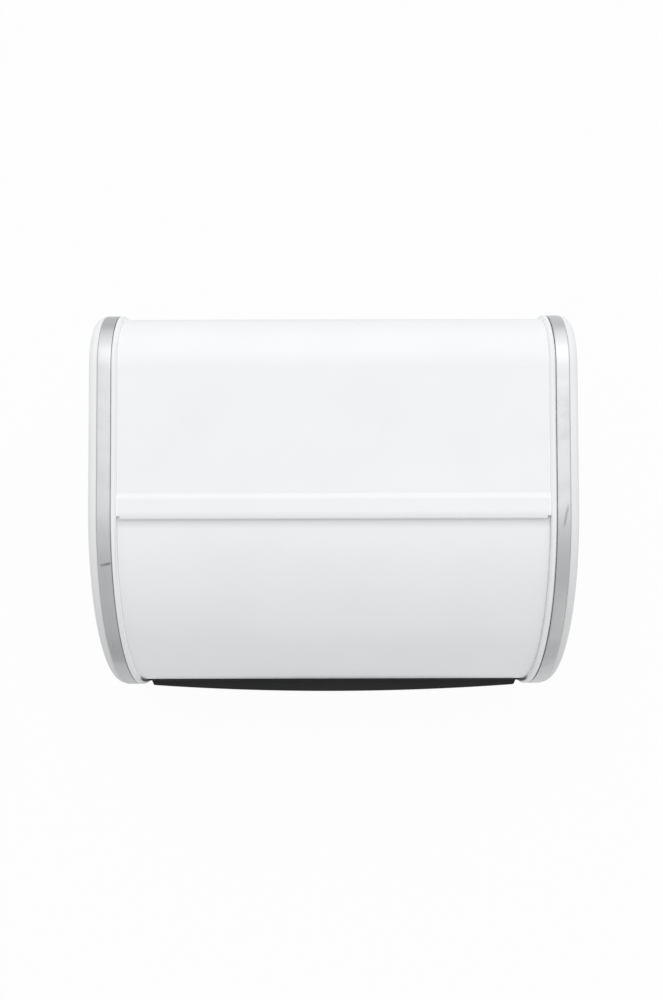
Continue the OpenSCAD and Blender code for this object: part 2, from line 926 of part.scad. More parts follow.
module shell_screws() {
  color(steel)
    for (sx = [-1, 1]) {
      for (y = floor_screws_y) {
        translate([sx * x_ledge_mid, y, z_floor_low])
          screw(shell_screw_len);
      }
      for (z = back_screws_z) {
        translate([sx * x_ledge_mid, y_back - sheet_recess, z])
          rotate([90, 0, 0])
            screw(shell_screw_len);
      }
    }
}

module grip_screws() {
  color(steel)
    for (x = grip_screws_x) {
      translate([x, pivot_y, pivot_z])
        rotate([grip_screw_angle - 90, 0, 0])
          translate([0, 0, grip_screw_seat])
            screw(grip_screw_len);
    }
}

module side_plate_right() {
  color(white)
    side_plate();
}

module side_plate_left() {
  left_of()
    side_plate_right();
}

module trim_band_right() {
  color(bright)
    trim_band();
}

module trim_band_left() {
  left_of()
    trim_band_right();
}

module end_cover_right() {
  color(white)
    end_cover();
}

module end_cover_left() {
  left_of()
    end_cover_right();
}

module lid_cheek_right() {
  color(white)
    lid_cheek();
}

module lid_cheek_left() {
  left_of()
    lid_cheek_right();
}

module pivot_pin_right() {
  color(steel)
    pivot_pin();
}

module pivot_pin_left() {
  left_of()
    pivot_pin_right();
}

module pivot_bush_right() {
  color(nylon)
    pivot_bush();
}

module pivot_bush_left() {
  left_of()
    pivot_bush_right();
}

module front_stop_sleeves() {
  color(dark) {
    stop_sleeve(front_stop);
    left_of()
      stop_sleeve(front_stop);
  }
}

module rear_stop_sleeves() {
  color(dark) {
    stop_sleeve(rear_stop);
    left_of()
      stop_sleeve(rear_stop);
  }
}

body_shell();
side_plate_left();
side_plate_right();
trim_band_left();
trim_band_right();
end_cover_left();
end_cover_right();
lid_panel();
lid_cheek_left();
lid_cheek_right();
lid_grip();
pivot_pin_left();
pivot_pin_right();
pivot_bush_left();
pivot_bush_right();
front_stop_sleeves();
rear_stop_sleeves();
foot_at(-1, y_front + foot_in_y);  // foot_front_left
foot_at(1, y_front + foot_in_y);  // foot_front_right
foot_at(-1, y_back - foot_in_y);  // foot_rear_left
foot_at(1, y_back - foot_in_y);  // foot_rear_right
cover_screws();
shell_screws();
grip_screws();
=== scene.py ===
import json
from math import radians

import bmesh
import bpy
import numpy as np
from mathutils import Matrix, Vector


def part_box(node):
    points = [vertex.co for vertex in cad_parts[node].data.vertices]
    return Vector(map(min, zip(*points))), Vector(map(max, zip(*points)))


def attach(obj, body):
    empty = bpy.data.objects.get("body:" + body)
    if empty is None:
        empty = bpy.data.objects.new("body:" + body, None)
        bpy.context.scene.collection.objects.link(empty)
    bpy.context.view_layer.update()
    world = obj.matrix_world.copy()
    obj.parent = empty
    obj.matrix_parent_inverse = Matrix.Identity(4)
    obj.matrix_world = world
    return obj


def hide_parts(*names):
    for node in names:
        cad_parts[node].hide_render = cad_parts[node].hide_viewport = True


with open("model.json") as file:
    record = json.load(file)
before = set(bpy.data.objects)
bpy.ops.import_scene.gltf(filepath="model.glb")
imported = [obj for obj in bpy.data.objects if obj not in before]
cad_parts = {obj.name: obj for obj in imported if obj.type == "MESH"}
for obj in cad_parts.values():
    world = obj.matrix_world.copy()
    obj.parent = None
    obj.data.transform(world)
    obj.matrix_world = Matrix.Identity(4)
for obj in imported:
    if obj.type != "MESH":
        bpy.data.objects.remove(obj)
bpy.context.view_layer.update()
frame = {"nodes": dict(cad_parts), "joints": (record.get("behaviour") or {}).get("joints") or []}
parts = frame["nodes"]

# sizes that several pieces and finishes share, read from the frame
pivotY, pivotZ = frame["joints"][0]["pos_m"][1:]
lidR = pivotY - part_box("lid_panel")[0].y
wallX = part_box("body_shell")[1].x  # half the width between the two rings


def gridQuads(rows, cols, closeRows=False, closeCols=False):
    # corner (i, j) has the number i * cols + j, and each quad takes the next row and the next column too
    i = np.arange(rows if closeRows else rows - 1)[:, None]
    j = np.arange(cols if closeCols else cols - 1)[None, :]
    i2, j2 = (i + 1) % rows, (j + 1) % cols
    quads = np.stack([i * cols + j, i * cols + j2, i2 * cols + j2, i2 * cols + j], -1)
    return quads.reshape(-1, 4)


def tubeFaces(rows, cols):
    # rows that close on themselves, with one face over the first row and one over the last
    faces = [list(f) for f in gridQuads(rows, cols, closeCols=True)]
    return faces + [list(range(cols))[::-1], list(range((rows - 1) * cols, rows * cols))]


def surfaceObject(name, points, faces, sharp=32):
    mesh = bpy.data.meshes.new(name)
    mesh.from_pydata(points.tolist(), [], [list(f) for f in faces])
    mesh.update()
    mesh.shade_smooth()
    mesh.set_sharp_from_angle(angle=radians(sharp))
    obj = bpy.data.objects.new(name, mesh)
    bpy.context.scene.collection.objects.link(obj)
    return obj


def smoothStep(a, b, x):
    # rises from 0 at a to 1 at b: three t squared less two t cubed
    t = np.clip((x - a) / (b - a), 0, 1)
    return t * t * (3 - 2 * t)


def quarterRound(r, n):
    # a rounded edge in n points: how far each lies in from the edge, and how far it falls below the face
    turn = np.radians(np.linspace(0, 90, n))
    return r * (1 - np.sin(turn)), r * (1 - np.cos(turn))


def arcPoints(cx, cy, r, a0, a1, n):
    # points of an arc about (cx, cy): centre plus radius times cosine and sine, from angle a0 to a1
    a = np.radians(np.linspace(a0, a1, n))
    return np.stack([cx + r * np.cos(a), cy + r * np.sin(a)], -1)


def mathNode(tree, operation, a, b=None):
    node = tree.nodes.new("ShaderNodeMath")
    node.operation = operation
    for socket, value in zip(node.inputs, (a, b)):
        if isinstance(value, (int, float)):
            socket.default_value = value
        elif value is not None:
            tree.links.new(value, socket)
    return node.outputs[0]


def timesNode(tree, first, *others):
    for other in others:
        first = mathNode(tree, "MULTIPLY", first, other)
    return first


def rangeNode(tree, value, low, high, outLow=0.0, outHigh=1.0):
    node = tree.nodes.new("ShaderNodeMapRange")
    for label, number in (("From Min", low), ("From Max", high), ("To Min", outLow), ("To Max", outHigh)):
        node.inputs[label].default_value = number
    tree.links.new(value, node.inputs["Value"])
    return node.outputs["Result"]


def splitNode(tree, vector):
    node = tree.nodes.new("ShaderNodeSeparateXYZ")
    tree.links.new(vector, node.inputs[0])
    return node.outputs


def shaderMix(tree, factor, a, b):
    node = tree.nodes.new("ShaderNodeMixShader")
    for socket, source in zip(node.inputs, (factor, a, b)):
        tree.links.new(source, socket)
    return node.outputs["Shader"]


viewpoint = {"place": (-0.0016, -0.0216, 0.921), "tilt": 2.23, "roll": -0.15, "lens": 37.8, "sensor": 36}


def placeCamera():
    v = viewpoint
    cam = bpy.data.cameras.new("topView")
    cam.lens, cam.sensor_width = v["lens"], v["sensor"]
    obj = bpy.data.objects.new("topView", cam)
    obj.location = v["place"]
    obj.rotation_euler = (radians(v["tilt"]), 0, radians(v["roll"]))
    bpy.context.scene.collection.objects.link(obj)
    bpy.context.scene.camera = obj


# stops: how far a direction leans towards the bright patch, and how bright the room is there
roomSizes = {
    "strength": 1.63, "leanBack": 41, "tint": (0.99, 0.997, 1.005), "past": 0.985,
    "stops": [
        (0.0, 0.38), (0.17, 0.40), (0.42, 0.43), (0.645, 0.45), (0.74, 0.52), (0.9, 0.69), (0.97, 0.83), (1.0, 0.96),
    ],
    "wallRight": (0.1, 0.18), "wallHigh": (0.06, 0.085), "wallFront": (-0.78, -0.88), "frontShare": 1.7,
    "wallLift": 0.3,
    "lampPower": 1.3, "lampSize": 1.5, "lampPlace": (0.1, 0.75, 1.7),
}


def lightRoom():
    # a grey room, brightest high at the back; the camera sees plain white past the floor
    s = roomSizes
    world = bpy.data.worlds.new("softRoom")
    bpy.context.scene.world = world
    world.use_nodes = True
    tree = world.node_tree
    tree.nodes.clear()
    link = tree.links.new
    direction = tree.nodes.new("ShaderNodeTexCoord").outputs["Generated"]
    lean = tree.nodes.new("ShaderNodeVectorMath")
    lean.operation = "DOT_PRODUCT"
    a = radians(s["leanBack"])
    lean.inputs[1].default_value = (0, np.sin(a), np.cos(a))
    link(direction, lean.inputs[0])
    ramp = tree.nodes.new("ShaderNodeValToRGB")
    while len(ramp.color_ramp.elements) < len(s["stops"]):
        ramp.color_ramp.elements.new(0.5)
    for element, (place, level) in zip(ramp.color_ramp.elements, s["stops"]):
        element.position = place
        element.color = (*(level * part for part in s["tint"]), 1)
    link(rangeNode(tree, lean.outputs["Value"], -1.0, 1.0), ramp.inputs["Fac"])
    # polished metal alone sees the walls on the right lighter, high up and low in front
    toward = splitNode(tree, direction)
    path = tree.nodes.new("ShaderNodeLightPath").outputs
    walls = mathNode(tree, "ADD", rangeNode(tree, toward["Y"], *s["wallHigh"]),
                     rangeNode(tree, toward["Y"], *s["wallFront"], 0.0, s["frontShare"]))
    right = rangeNode(tree, toward["X"], *s["wallRight"])
    lift = timesNode(tree, walls, right, path["Is Glossy Ray"], s["wallLift"])
    room = tree.nodes.new("ShaderNodeBackground")
    link(ramp.outputs["Color"], room.inputs["Color"])
    link(mathNode(tree, "ADD", lift, s["strength"]), room.inputs["Strength"])
    white = tree.nodes.new("ShaderNodeBackground")
    white.inputs["Color"].default_value = (s["past"], s["past"], s["past"], 1)
    out = tree.nodes.new("ShaderNodeOutputWorld")
    link(shaderMix(tree, path["Is Camera Ray"], room.outputs[0], white.outputs[0]), out.inputs["Surface"])


def hangLamp():
    s = roomSizes
    lamp = bpy.data.lights.new("softBox", "AREA")
    lamp.shape = "SQUARE"
    lamp.size, lamp.energy = s["lampSize"], s["lampPower"]
    obj = bpy.data.objects.new("softBox", lamp)
    obj.location = s["lampPlace"]
    obj.rotation_euler = Vector(s["lampPlace"]).to_track_quat("Z", "Y").to_euler()
    bpy.context.scene.collection.objects.link(obj)


floorSizes = {
    "half": 3.0, "lines": 9, "tone": (0.75, 0.76, 0.77, 1), "whiteShare": 0.95, "mirrorShare": 0.55,
    "nearEdge": (-0.365, -0.335), "farTone": 0.39, "nearTone": 0.74, "rightEdge": (0.0, 0.2), "rightTone": 0.22,
}


def layFloor():
    # white to the camera, with a share left plain that keeps the shadow;
    # polished metal sees it greyer, least so close in front and on the right
    s = floorSizes
    n, line = s["lines"], np.linspace(-s["half"], s["half"], s["lines"])
    u, v = np.meshgrid(line, line, indexing="ij")
    points = np.stack([u.ravel(), v.ravel(), np.zeros(n * n)], -1)
    floor = surfaceObject("floor", points, gridQuads(n, n)[:, ::-1])
    mat = bpy.data.materials.new("paleFloor")
    mat.use_nodes = True
    tree = mat.node_tree
    tree.nodes.clear()
    path = tree.nodes.new("ShaderNodeLightPath").outputs
    plain = tree.nodes.new("ShaderNodeBsdfDiffuse")
    plain.inputs["Color"].default_value = s["tone"]
    white = tree.nodes.new("ShaderNodeEmission")
    white.inputs["Color"].default_value = (1, 1, 1, 1)
    seen = mathNode(tree, "MAXIMUM", path["Is Camera Ray"], path["Is Transmission Ray"])
    shown = shaderMix(tree, timesNode(tree, seen, s["whiteShare"]), plain.outputs[0], white.outputs[0])
    place = splitNode(tree, tree.nodes.new("ShaderNodeTexCoord").outputs["Object"])
    near = rangeNode(tree, place["Y"], *s["nearEdge"], s["farTone"], s["nearTone"])
    right = rangeNode(tree, place["X"], *s["rightEdge"], 0.0, s["rightTone"])
    dim = tree.nodes.new("ShaderNodeEmission")
    tree.links.new(mathNode(tree, "ADD", near, right), dim.inputs["Color"])
    mirrored = shaderMix(tree, timesNode(tree, path["Is Glossy Ray"], s["mirrorShare"]), shown, dim.outputs[0])
    tree.links.new(mirrored, tree.nodes.new("ShaderNodeOutputMaterial").inputs["Surface"])
    floor.data.materials.append(mat)


placeCamera()
lightRoom()
hangLamp()
layFloor()
print("camera, light and floor are set")


def newGroup(name, takes, gives):
    group = bpy.data.node_groups.new(name, "ShaderNodeTree")
    for label, kind, value in takes:
        socket = group.interface.new_socket(label, in_out="INPUT", socket_type=kind)
        if value is not None:
            socket.default_value = value
    for label, kind in gives:
        group.interface.new_socket(label, in_out="OUTPUT", socket_type=kind)
    taken = group.nodes.new("NodeGroupInput").outputs
    return group, taken, group.nodes.new("NodeGroupOutput").inputs


def noiseNode(tree, vector, scale, detail=2.0, rough=0.5):
    node = tree.nodes.new("ShaderNodeTexNoise")
    node.inputs["Detail"].default_value = detail
    node.inputs["Roughness"].default_value = rough
    if isinstance(scale, (int, float)):
        node.inputs["Scale"].default_value = scale
    else:
        tree.links.new(scale, node.inputs["Scale"])
    tree.links.new(vector, node.inputs["Vector"])
    return node.outputs["Fac"]


peelSizes = {"ripple": 3.1, "rippleShare": 0.35, "cloud": 14.0}


def makeOrangePeel():
    # sprayed paint: a slow wave with a fine ripple on it, and broad soft clouds
    tree, take, give = newGroup(
        "orangePeel",
        [("Vector", "NodeSocketVector", None), ("Wave Scale", "NodeSocketFloat", 420.0)],
        [("Height", "NodeSocketFloat"), ("Cloud", "NodeSocketFloat")],
    )
    wave = noiseNode(tree, take["Vector"], take["Wave Scale"], detail=1.0)
    ripple = noiseNode(tree, take["Vector"], timesNode(tree, take["Wave Scale"], peelSizes["ripple"]), detail=0.0)
    height = mathNode(tree, "ADD", wave, timesNode(tree, ripple, peelSizes["rippleShare"]))
    tree.links.new(height, give["Height"])
    tree.links.new(noiseNode(tree, take["Vector"], peelSizes["cloud"], detail=3.0), give["Cloud"])
    return tree


edgeSizes = {"samples": 6, "flatToSharp": (0.995, 0.8)}


def makeRoundedEdge():
    # light catches an edge as if it had a small radius, and the edge mask grows where the surface turns sharply
    tree, take, give = newGroup(
        "roundedEdge",
        [("Radius", "NodeSocketFloat", 0.0005)],
        [("Normal", "NodeSocketVector"), ("Edge", "NodeSocketFloat")],
    )
    bevel = tree.nodes.new("ShaderNodeBevel")
    bevel.samples = edgeSizes["samples"]
    tree.links.new(take["Radius"], bevel.inputs["Radius"])
    dot = tree.nodes.new("ShaderNodeVectorMath")
    dot.operation = "DOT_PRODUCT"
    tree.links.new(bevel.outputs["Normal"], dot.inputs[0])
    tree.links.new(tree.nodes.new("ShaderNodeNewGeometry").outputs["Normal"], dot.inputs[1])
    tree.links.new(bevel.outputs["Normal"], give["Normal"])
    tree.links.new(rangeNode(tree, dot.outputs["Value"], *edgeSizes["flatToSharp"]), give["Edge"])
    return tree


# scale of each noise, and between which of its values the effect comes in
useSizes = {
    "patch": 22.0, "patchIn": (0.48, 0.75), "broken": 160.0, "brokenIn": (0.3, 0.7),
    "specks": 900.0, "specksIn": (0.72, 0.8),
}


def makeHandling():
    # faint smears and specks from use: large soft patches broken up by smaller ones
    tree, take, give = newGroup(
        "handling",
        [("Vector", "NodeSocketVector", None)],
        [("Smear", "NodeSocketFloat"), ("Speck", "NodeSocketFloat")],
    )
    u = useSizes
    patch = rangeNode(tree, noiseNode(tree, take["Vector"], u["patch"], detail=4.0, rough=0.6), *u["patchIn"])
    broken = rangeNode(tree, noiseNode(tree, take["Vector"], u["broken"], detail=3.0, rough=0.6), *u["brokenIn"])
    specks = rangeNode(tree, noiseNode(tree, take["Vector"], u["specks"], detail=1.0), *u["specksIn"])
    tree.links.new(timesNode(tree, patch, broken), give["Smear"])
    tree.links.new(specks, give["Speck"])
    return tree


lineSizes = {"coarse": 1.0, "coarseShare": 0.6, "fine": 3.7, "fineShare": 0.4, "linesIn": (0.3, 0.7)}


def makeDrawnLines():
    # fine lines left by drawing or brushing: noise squeezed hard along one axis
    tree, take, give = newGroup(
        "drawnLines",
        [("Vector", "NodeSocketVector", None), ("Stretch", "NodeSocketVector", (1.0, 1.0, 1.0))],
        [("Lines", "NodeSocketFloat"), ("Height", "NodeSocketFloat")],
    )
    squeeze = tree.nodes.new("ShaderNodeVectorMath")
    squeeze.operation = "MULTIPLY"
    tree.links.new(take["Vector"], squeeze.inputs[0])
    tree.links.new(take["Stretch"], squeeze.inputs[1])
    s = lineSizes
    coarse = noiseNode(tree, squeeze.outputs["Vector"], s["coarse"], detail=2.0, rough=0.6)
    fine = noiseNode(tree, squeeze.outputs["Vector"], s["fine"], detail=1.0, rough=0.6)
    both = mathNode(tree, "ADD", timesNode(tree, coarse, s["coarseShare"]), timesNode(tree, fine, s["fineShare"]))
    tree.links.new(rangeNode(tree, both, *s["linesIn"]), give["Lines"])
    tree.links.new(both, give["Height"])
    return tree


orangePeel = makeOrangePeel()
roundedEdge = makeRoundedEdge()
handling = makeHandling()
drawnLines = makeDrawnLines()
print("shared node groups are made")


class Finish:
    # one material on a Principled shader; an underscore in a keyword stands for the space in the socket's name
    def __init__(self, name, **values):
        self.mat = bpy.data.materials.new(name)
        self.mat.use_nodes = True
        self.tree = self.mat.node_tree
        self.tree.nodes.clear()
        self.shader = self.tree.nodes.new("ShaderNodeBsdfPrincipled")
        out = self.tree.nodes.new("ShaderNodeOutputMaterial")
        self.tree.links.new(self.shader.outputs["BSDF"], out.inputs["Surface"])
        self.object = self.tree.nodes.new("ShaderNodeTexCoord").outputs["Object"]
        for label, value in values.items():
            self.shader.inputs[label.replace("_", " ")].default_value = value

    def feed(self, **sockets):
        for label, socket in sockets.items():
            self.tree.links.new(socket, self.shader.inputs[label.replace("_", " ")])
        return self.mat

    def group(self, tree, **values):
        node = self.tree.nodes.new("ShaderNodeGroup")
        node.node_tree = tree
        if "Vector" in node.inputs:
            self.tree.links.new(self.object, node.inputs["Vector"])
        for label, value in values.items():
            node.inputs[label.replace("_", " ")].default_value = value
        return node.outputs

    def bump(self, height, depth, normal=None):
        node = self.tree.nodes.new("ShaderNodeBump")
        node.inputs["Distance"].default_value = depth
        node.inputs["Strength"].default_value = 1.0
        self.tree.links.new(height, node.inputs["Height"])
        if normal is not None:
            self.tree.links.new(normal, node.inputs["Normal"])
        return node.outputs["Normal"]

    def mix(self, factor, a, b):
        # the Mix node keeps its sockets once for each data type; these are the ones for colour
        node = self.tree.nodes.new("ShaderNodeMix")
        node.data_type = "RGBA"
        self.tree.links.new(factor, node.inputs[0])
        for socket, value in ((node.inputs[6], a), (node.inputs[7], b)):
            if isinstance(value, tuple):
                socket.default_value = (*value, 1)
            else:
                self.tree.links.new(value, socket)
        return node.outputs[2]

    def times(self, *values):
        return timesNode(self.tree, *values)

    def span(self, value, between, results=(0.0, 1.0)):
        return rangeNode(self.tree, value, *between, *results)

    def away(self, value, middle):
        # distance of a value from middle, to either side
        return mathNode(self.tree, "ABSOLUTE", mathNode(self.tree, "SUBTRACT", value, middle))


cornerLightLooks = {"tone": (0.965, 0.968, 0.97), "toLeft": (0.01, -0.01), "aboveLid": (-0.008, 0.0)}


def paintedCornerLight(f, base, place, beside):
    # painted light: paint and plastic are painted lighter where they meet beside the ring, on the left and above the
    # lid, over the shade of that corner
    toLeft = f.span(place["X"], cornerLightLooks["toLeft"])
    aboveLid = f.span(place["Y"], cornerLightLooks["aboveLid"])
    lightenedSide = mathNode(f.tree, "MAXIMUM", toLeft, aboveLid)
    return f.mix(f.times(lightenedSide, f.span(f.away(place["X"], 0.0), beside)), base, cornerLightLooks["tone"])


# in each finish, dark and light are the two base tones, cloud is the noise values between which one turns into
# the other, and a share is how much of an effect reaches the colour
paintLooks = {
    "dark": (0.854, 0.862, 0.874), "light": (0.872, 0.878, 0.888), "cloud": (0.35, 0.65), "edge": 0.0011,
    "peel": 420.0, "peelDepth": 0.00002, "smear": (0.70, 0.69, 0.66), "smearShare": 0.10,
    "roughCloud": (0.3, 0.7), "rough": (0.34, 0.42), "smearRough": 0.10, "coat": (0.30, 0.12),
    "dust": (0.775, 0.782, 0.79), "lipY": -0.0065, "dustReach": (0.0060, 0.0025), "dustHeight": (0.1735, 0.1745),
    "clean": (wallX - 0.0011, wallX - 0.0007),
}


def sprayedPaint():
    p = paintLooks
    f = Finish("sprayedPaint", IOR=1.48, Coat_Roughness=0.12, Coat_IOR=1.5)
    peel = f.group(orangePeel, Wave_Scale=p["peel"])
    edge = f.group(roundedEdge, Radius=p["edge"])
    use = f.group(handling)
    place = splitNode(f.tree, f.object)
    base = f.mix(f.span(peel["Cloud"], p["cloud"]), p["dark"], p["light"])
    base = f.mix(f.times(use["Smear"], p["smearShare"]), base, p["smear"])
    # painted shade: the paint is darkened along the strip's lip and on the lid just below it, where the lip's shade
    # falls
    dust = f.times(f.span(f.away(place["Y"], p["lipY"]), p["dustReach"]), f.span(place["Z"], p["dustHeight"]))
    # painted light: the paint is made lighter beside the ring, over the shade of that corner
    base = paintedCornerLight(f, f.mix(dust, base, p["dust"]), place, p["clean"])
    rough = f.span(peel["Cloud"], p["roughCloud"], p["rough"])
    rough = mathNode(f.tree, "ADD", rough, f.times(use["Smear"], p["smearRough"]))
    coat = f.span(use["Smear"], (0.0, 1.0), p["coat"])
    normal = f.bump(peel["Height"], p["peelDepth"], edge["Normal"])
    return f.feed(Base_Color=base, Roughness=rough, Coat_Weight=coat, Normal=normal)


whiteLooks = {
    "dark": (0.835, 0.845, 0.848), "light": (0.855, 0.864, 0.865), "cloud": (0.35, 0.65), "edge": 0.0004,
    "peel": 1500.0, "peelDepth": 0.000012, "speck": (0.60, 0.59, 0.57), "speckShare": 0.25,
    "roughCloud": (0.3, 0.7), "rough": (0.40, 0.50), "smearRough": 0.10,
    "held": (0.71, 0.717, 0.713), "heldSide": (wallX + 0.0035, wallX + 0.0038), "heldFront": (0.07, -0.11),
    "clean": (wallX + 0.0004, wallX + 0.0002),
    "rub": (0.11, 0.112, 0.115), "rubOut": (lidR + 0.0026, lidR + 0.0019), "rubIn": (lidR - 0.0007, lidR - 0.0003),
    "rubSide": (wallX + 0.0003, wallX + 0.0001), "rubHeight": (0.084, 0.072), "rubFront": (-0.10, -0.11),
}


def mouldedWhite():
    p = whiteLooks
    f = Finish("mouldedWhite", IOR=1.46)
    peel = f.group(orangePeel, Wave_Scale=p["peel"])
    edge = f.group(roundedEdge, Radius=p["edge"])
    use = f.group(handling)
    place = splitNode(f.tree, f.object)
    side = f.away(place["X"], 0.0)
    base = f.mix(f.span(peel["Cloud"], p["cloud"]), p["dark"], p["light"])
    base = f.mix(f.times(use["Speck"], p["speckShare"]), base, p["speck"])
    # painted shade: the end covers are made greyer toward the front
    held = f.times(f.span(side, p["heldSide"]), f.span(place["Y"], p["heldFront"]))
    # painted light: the ring is made lighter beside the sheet, over the shade of that corner
    base = paintedCornerLight(f, f.mix(held, base, p["held"]), place, p["clean"])
    # painted shade on the ring's inner wall in its lower part, where the groove beside the lid lies in shade: a patch
    # between two radii about the pivot
    radius = f.tree.nodes.new("ShaderNodeVectorMath")
    radius.operation = "DISTANCE"
    flat = f.tree.nodes.new("ShaderNodeCombineXYZ")
    for axis in "YZ":
        f.tree.links.new(place[axis], flat.inputs[axis])
    f.tree.links.new(flat.outputs[0], radius.inputs[0])
    radius.inputs[1].default_value = (0, pivotY, pivotZ)
    fromPivot = radius.outputs["Value"]
    rub = f.times(f.span(fromPivot, p["rubOut"]), f.span(fromPivot, p["rubIn"]), f.span(side, p["rubSide"]),
                  f.span(place["Z"], p["rubHeight"]), f.span(place["Y"], p["rubFront"]))
    base = f.mix(rub, base, p["rub"])
    rough = f.span(peel["Cloud"], p["roughCloud"], p["rough"])
    rough = mathNode(f.tree, "ADD", rough, f.times(use["Smear"], p["smearRough"]))
    return f.feed(Base_Color=base, Roughness=rough, Normal=f.bump(peel["Height"], p["peelDepth"], edge["Normal"]))


trimLooks = {
    "dark": (0.57, 0.575, 0.58), "light": (0.62, 0.625, 0.63), "stretch": (2600.0, 6.0, 6.0), "lineDepth": 0.000006,
    "smear": (0.52, 0.51, 0.50), "smearShare": 0.35, "rough": (0.20, 0.30), "smearRough": 0.14,
    "edge": 0.0004, "waves": 42.0, "waveDepth": 0.0006, "grime": (0.33, 0.33, 0.332),
    "knock": (0.36, 0.36, 0.362), "knockShare": 0.8, "knockX": 0.16508, "knockSlant": 0.2, "knockY": -0.0045,
    "knockHalf": (0.0014, 0.0003), "knockReach": (0.0095, 0.004), "knockHeight": (0.1, 0.11),
}


def rolledTrim():
    p = trimLooks
    f = Finish("rolledTrim", Metallic=1.0)
    lines = f.group(drawnLines, Stretch=p["stretch"])
    edge = f.group(roundedEdge, Radius=p["edge"])
    use = f.group(handling)
    place = splitNode(f.tree, f.object)
    base = f.mix(lines["Lines"], p["dark"], p["light"])
    base = f.mix(f.times(use["Smear"], p["smearShare"]), base, p["smear"])
    # painted shade along the seam's groove, darkening the strip where the groove lies in shade
    grime = f.tree.nodes.new("ShaderNodeAttribute")
    grime.attribute_name = "seamGrime"
    base = f.mix(grime.outputs["Fac"], base, p["grime"])
    # a small slanting knock beside the strip's right end
    middle = mathNode(f.tree, "ADD", f.times(place["Y"], p["knockSlant"]), p["knockX"])
    across = f.span(f.away(place["X"], middle), p["knockHalf"])
    along = f.span(f.away(place["Y"], p["knockY"]), p["knockReach"])
    knock = f.times(across, along, f.span(place["Z"], p["knockHeight"]))
    base = f.mix(f.times(knock, p["knockShare"]), base, p["knock"])
    rough = f.span(lines["Lines"], (0.0, 1.0), p["rough"])
    rough = mathNode(f.tree, "ADD", rough, f.times(use["Smear"], p["smearRough"]))
    # rolled strip is never quite flat
    wavy = f.bump(noiseNode(f.tree, f.object, p["waves"], detail=1.0), p["waveDepth"], edge["Normal"])
    return f.feed(Base_Color=base, Roughness=rough, Normal=f.bump(lines["Height"], p["lineDepth"], wavy))


blackLooks = {
    "dark": (0.011, 0.0115, 0.012), "light": (0.016, 0.016, 0.0165), "cloud": (0.3, 0.7), "edge": 0.0004,
    "grain": 2600.0, "grainDepth": 0.00004, "speck": (0.16, 0.16, 0.155), "speckShare": 0.3,
    "worn": (0.055, 0.055, 0.055), "wornShare": 0.25, "rough": (0.55, 0.64), "smearSmooth": 0.14,
}


def mouldedBlack():
    p = blackLooks
    f = Finish("mouldedBlack", IOR=1.5, Specular_IOR_Level=0.3)
    grain = f.group(orangePeel, Wave_Scale=p["grain"])
    edge = f.group(roundedEdge, Radius=p["edge"])
    use = f.group(handling)
    base = f.mix(f.span(grain["Cloud"], p["cloud"]), p["dark"], p["light"])
    base = f.mix(f.times(use["Speck"], p["speckShare"]), base, p["speck"])
    base = f.mix(f.times(edge["Edge"], p["wornShare"]), base, p["worn"])
    rough = f.span(grain["Cloud"], p["cloud"], p["rough"])
    rough = mathNode(f.tree, "SUBTRACT", rough, f.times(use["Smear"], p["smearSmooth"]))
    return f.feed(Base_Color=base, Roughness=rough, Normal=f.bump(grain["Height"], p["grainDepth"], edge["Normal"]))


rubberLooks = {
    "dark": (0.016, 0.016, 0.017), "light": (0.030, 0.030, 0.030), "cloud": (0.3, 0.7),
    "grain": 1800.0, "grainDepth": 0.00005, "smear": (0.10, 0.098, 0.092), "smearShare": 0.5,
    "roughHeight": (0.3, 1.0), "rough": (0.72, 0.86),
}


def softRubber():
    p = rubberLooks
    f = Finish("softRubber", IOR=1.52)
    grain = f.group(orangePeel, Wave_Scale=p["grain"])
    use = f.group(handling)
    base = f.mix(f.span(grain["Cloud"], p["cloud"]), p["dark"], p["light"])
    base = f.mix(f.times(use["Smear"], p["smearShare"]), base, p["smear"])
    rough = f.span(grain["Height"], p["roughHeight"], p["rough"])
    return f.feed(Base_Color=base, Roughness=rough, Normal=f.bump(grain["Height"], p["grainDepth"]))


zincLooks = {
    "dark": (0.54, 0.55, 0.57), "light": (0.68, 0.68, 0.67), "stretch": (900.0, 900.0, 900.0), "lineDepth": 0.00001,
    "smear": (0.42, 0.41, 0.38), "smearShare": 0.6, "rough": (0.26, 0.44),
}


def zincPlate():
    p = zincLooks
    f = Finish("zincPlate", Metallic=1.0)
    lines = f.group(drawnLines, Stretch=p["stretch"])
    use = f.group(handling)
    base = f.mix(lines["Lines"], p["dark"], p["light"])
    base = f.mix(f.times(use["Smear"], p["smearShare"]), base, p["smear"])
    rough = f.span(lines["Lines"], (0.0, 1.0), p["rough"])
    return f.feed(Base_Color=base, Roughness=rough, Normal=f.bump(lines["Height"], p["lineDepth"]))


nylonLooks = {
    "dark": (0.73, 0.71, 0.64), "light": (0.78, 0.765, 0.70), "cloud": (0.3, 0.7),
    "peel": 1700.0, "peelDepth": 0.00001, "smear": (0.48, 0.45, 0.38), "smearShare": 0.4, "rough": (0.42, 0.55),
}


def turnedNylon():
    p = nylonLooks
    f = Finish("turnedNylon", IOR=1.53, Subsurface_Weight=0.12, Subsurface_Radius=(0.002, 0.0018, 0.0014))
    peel = f.group(orangePeel, Wave_Scale=p["peel"])
    use = f.group(handling)
    base = f.mix(f.span(peel["Cloud"], p["cloud"]), p["dark"], p["light"])
    base = f.mix(f.times(use["Smear"], p["smearShare"]), base, p["smear"])
    rough = f.span(peel["Cloud"], p["cloud"], p["rough"])
    return f.feed(Base_Color=base, Roughness=rough, Normal=f.bump(peel["Height"], p["peelDepth"]))


finishes = {
    "painted_steel": sprayedPaint(),
    "white_plastic": mouldedWhite(),
    "bright_trim": rolledTrim(),
    "black_plastic": mouldedBlack(),
    "black_rubber": softRubber(),
    "zinc_steel": zincPlate(),
    "natural_nylon": turnedNylon(),
}

